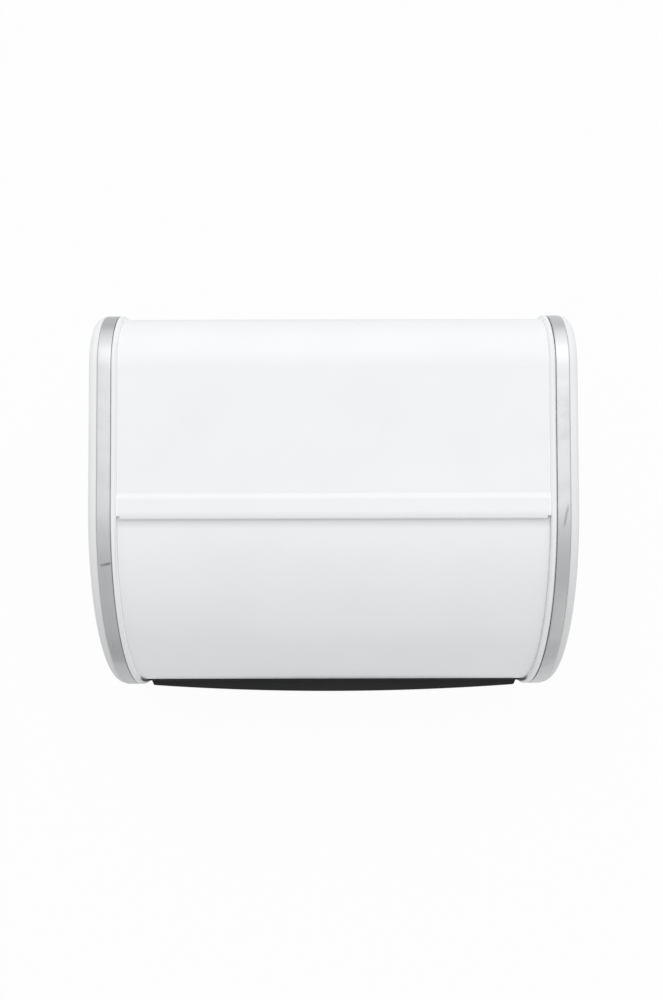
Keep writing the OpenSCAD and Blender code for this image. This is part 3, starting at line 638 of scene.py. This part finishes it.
nodeFinish = {
    "body_shell": "painted_steel", "lid_panel": "painted_steel",
    "lid_cheek_left": "white_plastic", "lid_cheek_right": "white_plastic",
    "side_plate_left": "white_plastic", "side_plate_right": "white_plastic",
    "end_cover_left": "white_plastic", "end_cover_right": "white_plastic",
    "trim_band_left": "bright_trim", "trim_band_right": "bright_trim",
    "lid_grip": "black_plastic",
    "pivot_pin_left": "zinc_steel", "pivot_pin_right": "zinc_steel",
    "pivot_bush_left": "natural_nylon", "pivot_bush_right": "natural_nylon",
    "front_stop_sleeves": "black_rubber", "rear_stop_sleeves": "black_rubber",
    "foot_front_left": "black_rubber", "foot_front_right": "black_rubber",
    "foot_rear_left": "black_rubber", "foot_rear_right": "black_rubber",
    "cover_screws": "zinc_steel", "shell_screws": "zinc_steel", "grip_screws": "zinc_steel",
}


def dress():
    for name, slot in nodeFinish.items():
        mesh = parts[name].data
        if not mesh.materials:
            mesh.materials.append(finishes[slot])
        for i in range(len(mesh.materials)):
            mesh.materials[i] = finishes[slot]


dress()
print("finishes are on the parts")


def closeUp(obj):
    # points that fall on each other at seams and poles become one, and every face looks outward
    bm = bmesh.new()
    bm.from_mesh(obj.data)
    bmesh.ops.remove_doubles(bm, verts=bm.verts, dist=1e-6)
    bmesh.ops.dissolve_degenerate(bm, edges=bm.edges, dist=1e-7)
    bmesh.ops.recalc_face_normals(bm, faces=bm.faces)
    bm.to_mesh(obj.data)
    bm.free()
    return obj


def finishPiece(obj, slot, body, *nodes):
    obj.data.materials.append(finishes[slot])
    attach(obj, body)
    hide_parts(*nodes)


# high, low and the hem's own sizes are angles about the pivot, in degrees
lidSizes = {
    "sheet": 0.0008, "half": wallX - 0.00005, "edgeRound": 0.00015, "high": 87.5, "low": 184.78,
    "hem": 2.92, "hemSteps": (-0.12, 0.0, 0.03, 0.15), "hemFade": (-0.02, 0.05), "evenFrom": 4, "rows": 79,
    "hemHalf": 0.1512, "hemEase": 0.0002, "middleX": 0.02,
}


def makeLid():
    # one loop across the sheet, its side edges sheared and deburred, carried round the pivot from high to low;
    # near both ends the inner side steps in by one sheet, which is the hem, and the nose closes in a half round
    d = lidSizes
    t, ease, high, low = d["sheet"], d["hemEase"], d["high"], d["low"]
    inset, fall = quarterRound(d["edgeRound"], 7)
    stepX = [d["hemHalf"], d["hemHalf"] + 2 * ease]
    flat = np.concatenate([[0.0], np.linspace(d["middleX"], d["hemHalf"] - 2 * ease, 9), stepX])
    halfX = np.concatenate([flat, d["half"] - inset])
    halfDrop = np.concatenate([0 * flat, fall])
    x = np.concatenate([-halfX[:0:-1], halfX, halfX[::-1], -halfX[1:]])
    drop = np.concatenate([halfDrop[:0:-1], halfDrop, t - halfDrop[::-1], t - halfDrop[1:]])
    inside = np.repeat([0, 1], 2 * len(halfX) - 1)
    hemAcross = inside * (1 - smoothStep(d["hemHalf"] - ease, d["hemHalf"] + ease, np.abs(x)))
    nose = np.degrees(t / lidR)
    ends = nose * (1 - np.cos(np.radians(np.linspace(8, 90, 7))))
    steps = d["hem"] + np.array(d["hemSteps"])
    even = np.linspace(high + d["evenFrom"], low - d["evenFrom"], d["rows"])
    a = np.concatenate([high + ends, high + steps, even, low - steps[::-1], low - ends[::-1]])
    fromEnd = np.minimum(a - high, low - a)
    hem = 1 - smoothStep(d["hem"] + d["hemFade"][0], d["hem"] + d["hemFade"][1], fromEnd)
    deep = drop[None] + t * hem[:, None] * hemAcross[None]
    middle = 0.5 * (deep.min(1, keepdims=True) + deep.max(1, keepdims=True))
    squash = np.sqrt(np.clip(1 - (1 - np.clip(fromEnd / nose, 0, 1)) ** 2, 0, 1))[:, None]
    r = lidR - (middle + (deep - middle) * squash)
    turn = np.radians(a)[:, None]
    grid = np.stack([x[None] + 0 * r, pivotY + r * np.cos(turn), pivotZ + r * np.sin(turn)], -1)
    obj = closeUp(surfaceObject("rollLid", grid.reshape(-1, 3), tubeFaces(*grid.shape[:2]), 40))
    finishPiece(obj, "painted_steel", "lid", "lid_panel")


gripLow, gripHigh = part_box("lid_grip")

# evenX and evenTurn: how far from the flange's edges its even rows start
gripSizes = {
    "halfWidth": 0.1526, "tipHalf": 0.150, "front": gripLow.y, "bow": 0.0053, "low": gripLow.z, "top": 0.041,
    "wall": 0.0024, "endRound": 0.0020, "innerRound": 0.0009, "topRound": 0.0013, "lipRound": 0.0007,
    "rimRound": 0.0003, "roofRound": 0.0007, "seat": 0.00001,
    "flangeHalf": gripHigh.x, "flangeThick": 0.0016, "flangeTop": gripHigh.z, "flangeLow": 0.0007,
    "flangeRound": 0.0007, "evenX": 0.002, "evenTurn": 0.02,
}


def lidFace(z):
    # y of the lid's outer face at height z: pivot minus the root of lid radius squared less height squared
    return pivotY - np.sqrt(lidR ** 2 - (z - pivotZ) ** 2)


def gripPlan(inset, endRound):
    # half of the grip's outline from the left root to the middle: a slanted end, a round corner and a shallow bow,
    # each moved inwards by inset, then its mirror image; gives the points and the direction pointing into the grip
    g = gripSizes
    bowR = (g["tipHalf"] ** 2 + g["bow"] ** 2) / (2 * g["bow"])
    centre = np.array([0.0, g["front"] + bowR])
    root = np.array([-g["halfWidth"], lidFace(g["low"])])
    tip = np.array([-g["tipHalf"], g["front"] + g["bow"]])
    along = (tip - root) / np.linalg.norm(tip - root)
    inward = np.array([-along[1], along[0]])
    start = root + inward * inset
    # the corner's centre lies endRound inside both the end line and the bow
    fromCentre = start + inward * endRound - centre
    reach = bowR - inset - endRound
    b = fromCentre @ along
    run = -b + np.sqrt(b * b - (fromCentre @ fromCentre - reach * reach))
    cornerAt = start + inward * endRound + along * run
    side = start + along * run * np.linspace(0, 1, 6)[:, None]
    endTurn = np.arctan2(-inward[1], -inward[0])
    bowTurn = np.arctan2(*(cornerAt - centre)[::-1])
    turn = np.linspace(endTurn, endTurn + (bowTurn - endTurn) % (2 * np.pi), 9)[1:]
    sweep = np.linspace(bowTurn, -np.pi / 2, 41)[1:]
    cornerOut = np.stack([np.cos(turn), np.sin(turn)], -1)
    bowOut = np.stack([np.cos(sweep), np.sin(sweep)], -1)
    half = np.concatenate([side, cornerAt + endRound * cornerOut, centre + (bowR - inset) * bowOut])
    halfIn = np.concatenate([np.repeat(inward[None], len(side), 0), -cornerOut, -bowOut])
    flip = np.array([-1.0, 1.0])
    return np.concatenate([half, half[-2::-1] * flip]), np.concatenate([halfIn, halfIn[-2::-1] * flip])


def gripRow(plan, inset, z, share=1.0):
    # the outline moved in by inset at height z, stopped at the lid's face; share draws it back to that face
    points, inward = plan
    x, y = (points + inward * inset).T
    face = lidFace(z) - gripSizes["seat"]
    return np.stack([x, face + (np.minimum(y, face) - face) * share, np.full(len(x), z)], -1)


def gripShell():
    # the outline carried down a section: top, rounded edge, front wall, lip, then up the inside to the top again
    g = gripSizes
    outer, inner = gripPlan(0.0, g["endRound"]), gripPlan(g["wall"], g["innerRound"])
    top, low, roof = g["top"], g["low"], g["top"] - g["wall"]
    rows = [gripRow(outer, g["topRound"], top, share) for share in (0.0, 0.4, 0.8)]
    rows += [gripRow(outer, inset, top - fall) for inset, fall in zip(*quarterRound(g["topRound"], 7))]
    rows += [gripRow(outer, 0.0, z) for z in np.linspace(top - g["topRound"], low + g["lipRound"], 6)[1:-1]]
    rows += [gripRow(outer, fall, low + inset) for inset, fall in zip(*quarterRound(g["lipRound"], 7))]
    rows += [gripRow(inner, -inset, low + fall) for inset, fall in zip(*quarterRound(g["rimRound"], 3))]
    rows += [gripRow(inner, fall, roof - inset) for inset, fall in zip(*quarterRound(g["roofRound"], 4))]
    rows += [gripRow(inner, g["roofRound"], roof, share) for share in (0.5, 0.0)]
    grid = np.stack(rows)
    n, m = grid.shape[:2]
    faces = [list(f) for f in gridQuads(n, m, closeRows=True)]
    faces += [[i * m for i in range(n)], [i * m + m - 1 for i in reversed(range(n))]]
    return grid.reshape(-1, 3), faces


def gripFlange():
    # a section bent to the lid's curve, outer edges rounded, carried across; its ends are rounded back to the lid
    g = gripSizes
    near, far, h = lidR + g["seat"], lidR + g["flangeThick"], g["flangeHalf"]
    thick = far - near
    high = np.pi - np.arcsin((g["flangeTop"] - pivotZ) / far)
    long = np.pi + np.arcsin((pivotZ - g["low"] - g["flangeLow"]) / far) - high
    inset, fall = quarterRound(g["flangeRound"], 6)
    section = np.concatenate([
        [[0.0, 0.0]], np.stack([thick - inset, fall / far], -1),
        np.stack([np.full(8, thick), np.linspace(g["evenTurn"], long - g["evenTurn"], 8)], -1),
        np.stack([thick - fall, long - inset / far], -1), [[0.0, long]],
    ])
    even = np.linspace(g["evenX"] - h, h - g["evenX"], 25)
    x = np.concatenate([fall - h, even, (h - fall)[::-1]])[:, None]
    shrink = np.concatenate([inset, 0 * even, inset[::-1]])[:, None]
    r = near + np.clip(section[None, :, 0] - shrink, 0, None)
    a = high + section[None, :, 1] + 0 * r
    grid = np.stack([x + 0 * r, pivotY + r * np.cos(a), pivotZ + r * np.sin(a)], -1)
    return grid.reshape(-1, 3), tubeFaces(*grid.shape[:2])


def makeGrip():
    points, faces = gripShell()
    flangePoints, flangeFaces = gripFlange()
    faces += [[i + len(points) for i in f] for f in flangeFaces]
    obj = closeUp(surfaceObject("frontGrip", np.concatenate([points, flangePoints]), faces, 40))
    finishPiece(obj, "black_plastic", "lid", "lid_grip")


# by side where the two strips differ; seamAngle and seamClear are degrees round the front curve,
# seamRows and slantReach are seam widths, seamFrom and seamTo are shares of the strip's width
bandSizes = {
    "rFront": 0.142, "rBack": 0.044, "rLow": 0.026, "thick": 0.0012, "crown": 0.00008, "edge": 0.00045, "rim": 0.0008,
    "inner": {-1: 0.15806, 1: 0.1583}, "leg": 0.00023, "footReach": 0.0007, "footDepth": {-1: 0.0014, 1: 0.0017},
    "footThick": 0.00025, "seamAngle": 106.7, "seamClear": 1.3, "seamWidth": 0.0012, "seamDepth": 0.0007,
    "seamRows": (-1.2, -0.5, -0.4, 0.4, 0.5, 1.2), "seamFrom": 0.10, "seamTo": 0.82, "seamFade": 0.04,
    "seamTaper": (1.15, 0.7), "seamSlant": 0.22, "slantReach": 1.5, "faceShare": 0.9,
}


def bandPath(node):
    # the body's side outline as a closed loop: four arcs joined by straight runs, with its outward direction
    # and each place's distance from the seam in seam widths
    b = bandSizes
    low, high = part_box(node)
    arcs = [
        (low.y + b["rFront"], high.z - b["rFront"], b["rFront"], 90, 73),
        (low.y + b["rLow"], low.z + b["rLow"], b["rLow"], 180, 19),
        (high.y - b["rLow"], low.z + b["rLow"], b["rLow"], 270, 19),
        (high.y - b["rBack"], high.z - b["rBack"], b["rBack"], 0, 33),
    ]
    seam = b["seamAngle"] + np.degrees(np.array(b["seamRows"]) * b["seamWidth"] / b["rFront"])
    places, outward = [], []
    for (cy, cz, r, start, n), (nextY, nextZ, nextR, *_) in zip(arcs, arcs[1:] + arcs[:1]):
        a = np.linspace(start, start + 90, n)
        if r == b["rFront"]:
            a = np.sort(np.concatenate([a[np.abs(a - b["seamAngle"]) > b["seamClear"]], seam]))
        out = np.stack([np.cos(np.radians(a)), np.sin(np.radians(a))], -1)
        arc = np.array([cy, cz]) + r * out
        to = np.array([nextY, nextZ]) + nextR * out[-1]
        run = np.linspace(0, 1, 8)[1:-1, None]
        places += [arc, arc[-1] + (to - arc[-1]) * run]
        outward += [out, np.repeat(out[-1:], len(run), 0)]
    places, outward = np.concatenate(places), np.concatenate(outward)
    fromSeam = np.abs(np.degrees(np.arctan2(outward[:, 1], outward[:, 0])) - b["seamAngle"])
    return places, outward, fromSeam * np.radians(b["rFront"]) / b["seamWidth"]


def bandSection(side, w):
    # across and down: an inner edge folded down as a leg and then inward as a foot, which closes the gap beside
    # the ring, then the rolled edge, the slightly crowned face and the rounder rim
    b = bandSizes
    leg, t, crown = b["leg"], b["thick"], b["crown"]
    reach, foot, sole = -b["footReach"], b["footDepth"][side], b["footDepth"][side] + b["footThick"]
    edgeIn, edgeFall = quarterRound(b["edge"], 6)
    rimIn, rimFall = quarterRound(b["rim"], 6)
    across = np.linspace(b["edge"], w - b["rim"], 25)[1:-1]
    return np.concatenate([
        [[leg, t], [leg, sole], [reach, sole], [reach, foot], [0.0, foot]],
        np.stack([edgeIn, crown + edgeFall], -1)[::-1],
        np.stack([across, crown * (2 * across / w - 1) ** 2], -1),
        np.stack([w - rimIn, crown + rimFall], -1), [[w, t]],
    ])


def makeBand(name, side, node, seamed):
    # the section carried round the body's outline, with a slanted seam across one of the two strips
    b = bandSizes
    inner = b["inner"][side]
    w = max(abs(end.x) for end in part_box(node)) - inner
    places, outward, fromSeam = bandPath(node)
    x, depth = bandSection(side, w).T
    share, fade = x / w, b["seamFade"]
    reach = smoothStep(b["seamFrom"] - fade, b["seamFrom"] + fade, share)
    reach = reach * (1 - smoothStep(b["seamTo"] - fade, b["seamTo"] + fade, share))
    full, taper = b["seamTaper"]
    strength = seamed * reach * (full - taper * share) * (depth < b["faceShare"] * b["thick"])
    groove, clear = b["seamRows"][3:5], b["seamRows"][-1]
    sink = b["seamDepth"] * (fromSeam < np.mean(groove))[:, None] * strength[None]
    # painted shade along the seam: full in its groove, fading out across the next rows
    grime = np.clip((clear - fromSeam) / (clear - groove[1]), 0, 1)[:, None] * strength[None]
    # rows by the seam turn a little about the front curve's centre, more toward the outer edge, so it runs at a slant
    turn = seamed * (fromSeam < b["slantReach"])[:, None] * (b["seamSlant"] * w / b["rFront"] * (share - 0.5))[None]
    y, z = outward[:, :1], outward[:, 1:]
    outY, outZ = y * np.cos(turn) - z * np.sin(turn), y * np.sin(turn) + z * np.cos(turn)
    d = depth[None] + sink
    grid = np.stack([
        side * (inner + x)[None] + 0 * d,
        places[:, :1] + b["rFront"] * (outY - y) - outY * d,
        places[:, 1:] + b["rFront"] * (outZ - z) - outZ * d,
    ], -1)
    faces = gridQuads(*grid.shape[:2], closeRows=True, closeCols=True)
    obj = surfaceObject(name, grid.reshape(-1, 3), faces[:, ::-1] if side < 0 else faces, 30)
    obj.data.attributes.new("seamGrime", "FLOAT", "POINT").data.foreach_set("value", grime.ravel())
    finishPiece(closeUp(obj), "bright_trim", "box", node)


# hollow: how far each point of its wall lies in from hollowR, and how high
footSizes = {
    "top": 0.0085, "r": 0.010, "topRound": 0.0006, "topEase": 0.0003, "lowR": 0.008, "lowRound": 0.0008,
    "hollowR": 0.0045, "hollow": [(0.0045, 0.0016), (0.0014, 0.0016), (0.0009, 0.00128), (0.0004, 0.0003), (0.0, 0.0)],
    "bead": 0.0004, "beads": 3, "stemR": 0.003, "stemEase": 0.0002, "seat": 0.0093,
    "barbR": 0.0044, "barb": 0.0006, "barbEase": 0.0002, "neckR": 0.002, "tipR": 0.0016, "stemTop": 0.0117,
}


def turned(profile, spot, n=48):
    # a profile of radius and height turned once about an upright line through spot
    a = np.linspace(0, 2 * np.pi, n, endpoint=False)
    r, z = profile[:, :1], profile[:, 1:]
    grid = np.stack([spot[0] + r * np.cos(a), spot[1] + r * np.sin(a), z + 0 * a], -1)
    return grid.reshape(-1, 3), gridQuads(len(profile), n, closeCols=True)


def makeFoot(node):
    # profile from the middle of the hollow outwards: beaded pad, rounded skirt, top, then the stem with its barb
    f = footSizes
    hollowR, low, top, stemR = f["hollowR"], f["lowR"] - f["lowRound"], f["top"], f["stemR"]
    wave = np.linspace(0, 1, 13)[1:-1]
    profile = np.concatenate([
        [[hollowR - inwards, height] for inwards, height in f["hollow"]],
        np.stack([hollowR + (low - hollowR) * wave, f["bead"] * np.sin(wave * f["beads"] * np.pi) ** 2], -1),
        arcPoints(low, f["lowRound"], f["lowRound"], 270, 345, 6),
        arcPoints(f["r"] - f["topRound"], top - f["topRound"] - f["topEase"], f["topRound"], -12, 90, 7),
        [[stemR + f["stemEase"], top - f["stemEase"]], [stemR, top], [stemR, f["seat"]], [f["barbR"], f["seat"]],
         [f["barbR"] - f["barbEase"], f["seat"] + f["barb"]], [f["neckR"], f["stemTop"] - f["stemEase"]],
         [f["tipR"], f["stemTop"]], [0.0, f["stemTop"]]],
    ])
    points, faces = turned(profile, np.mean(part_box(node), 0))
    obj = closeUp(surfaceObject("rubberFoot" + node[4:].title().replace("_", ""), points, faces, 35))
    finishPiece(obj, "black_rubber", "box", node)


# span is longer than any screw and shorter than the way to the next one; slice is the layer that finds a head's middle;
# aside is a direction that no screw points along
screwSizes = {
    "headR": 0.003, "headT": 0.0014, "domeR": 0.0021, "dome": 0.00025, "rim": 0.0005,
    "slotHalf": 0.00038, "slotReach": 0.0017, "slotDepth": 0.0009, "slotEdge": (0.8, 1.25), "slotEnd": 0.8,
    "slotTaper": 0.5, "shaftR": 0.00146, "pitch": 0.0009, "rowsInPitch": 6, "thread": 0.00022,
    "runOut": 0.0006, "tip": 0.0009, "tipR": 0.0006, "ease": 0.0001, "seat": 0.00001,
    "span": 0.016, "slice": 0.0004, "aside": (0.3, 0.5, 0.81),
}


def circle(r, a, z):
    return np.stack([r * np.cos(a), r * np.sin(a), z + 0 * a], -1)


def screwShape(length, n=48):
    # head: height falls from the middle by the square of the radius, less a cross cut that tapers to its ends;
    # shaft: radius waves with height plus turn, which winds a thread round it
    s = screwSizes
    a = np.linspace(0, 2 * np.pi, n, endpoint=False)[None]
    r = np.concatenate([np.linspace(s["ease"], s["domeR"], 17), s["headR"] - quarterRound(s["rim"], 6)[0]])[:, None]
    edge = np.clip((r - (s["headR"] - s["rim"])) / s["rim"], 0, 1)
    top = s["dome"] * (r / s["headR"]) ** 2 - s["headT"] + s["rim"] * (1 - np.sqrt(np.clip(1 - edge ** 2, 0, 1)))
    u, v = np.abs(r * np.cos(a)), np.abs(r * np.sin(a))
    arm, far = np.minimum(u, v), np.maximum(u, v)
    edgeIn, edgeOut = s["slotEdge"]
    cut = 1 - smoothStep(edgeIn * s["slotHalf"], edgeOut * s["slotHalf"], arm)
    cut = cut * (1 - smoothStep(s["slotEnd"] * s["slotReach"], s["slotReach"], far))
    top = top + s["slotDepth"] * cut * (1 - s["slotTaper"] * np.clip(far / s["slotReach"], 0, 1))
    z = np.arange(s["runOut"], length - s["tip"], s["pitch"] / s["rowsInPitch"])[:, None]
    thread = s["thread"] * (0.5 - 0.5 * np.cos(2 * np.pi * z / s["pitch"] - a))
    rows = np.concatenate([
        circle(r, a, top), circle(s["headR"], a, -s["seat"]), circle(s["shaftR"], a, -s["seat"]),
        circle(s["shaftR"] - thread, a, z), circle(s["tipR"], a, length - s["ease"]),
    ])
    return rows.reshape(-1, 3), tubeFaces(len(rows), n)


def screwBunches(node):
    # each screw of the node is one bunch of points
    mesh = parts[node].data
    xyz = np.empty(len(mesh.vertices) * 3)
    mesh.vertices.foreach_get("co", xyz)
    left = xyz.reshape(-1, 3)
    while len(left):
        near = np.linalg.norm(left - left[0], axis=1) < screwSizes["span"]
        yield left[near]
        left = left[~near]


def makeScrews(name, node, body, length, aimOf):
    # the head's under side sits where the CAD screw's does, and the shaft points along aim
    s = screwSizes
    shape, faces = screwShape(length)
    points, allFaces = [], []
    for bunch in screwBunches(node):
        aim = aimOf(bunch)
        along = bunch @ aim
        head = bunch[along < along.min() + s["slice"]]
        middle = (head.min(0) + head.max(0)) / 2
        seat = middle + aim * (along.min() - middle @ aim + s["headT"])
        side = np.cross(aim, s["aside"])
        side /= np.linalg.norm(side)
        allFaces += [[i + len(points) * len(shape) for i in f] for f in faces]
        points.append(shape @ np.stack([side, np.cross(aim, side), aim]) + seat)
    obj = closeUp(surfaceObject(name, np.concatenate(points), allFaces, 35))
    finishPiece(obj, "zinc_steel", body, node)


def coverAim(bunch):
    # from the inside outwards, into the end covers
    return np.array([np.sign(bunch[:, 0].mean()), 0.0, 0.0])


def shellAim(bunch):
    # floor screws point up, back screws point forwards
    return np.array([0, 0, 1.0]) if bunch[:, 2].mean() < 0.02 else np.array([0, -1.0, 0])


def gripAim(bunch):
    # straight out from the pivot
    out = bunch[:, 1:].mean(0) - (pivotY, pivotZ)
    return np.array([0, *(out / np.linalg.norm(out))])


makeLid()
makeGrip()
print("lid and grip are made")
makeBand("trimStripLeft", -1, "trim_band_left", 1.0)
makeBand("trimStripRight", 1, "trim_band_right", 0.0)
print("trim strips are made")
for node in ("foot_front_left", "foot_front_right", "foot_rear_left", "foot_rear_right"):
    makeFoot(node)
print("feet are made")
makeScrews("coverScrewSet", "cover_screws", "box", 0.012, coverAim)
makeScrews("shellScrewSet", "shell_screws", "box", 0.008, shellAim)
makeScrews("gripScrewSet", "grip_screws", "lid", 0.005, gripAim)
print("screws are made")

bpy.context.scene.view_settings.view_transform = "Standard"
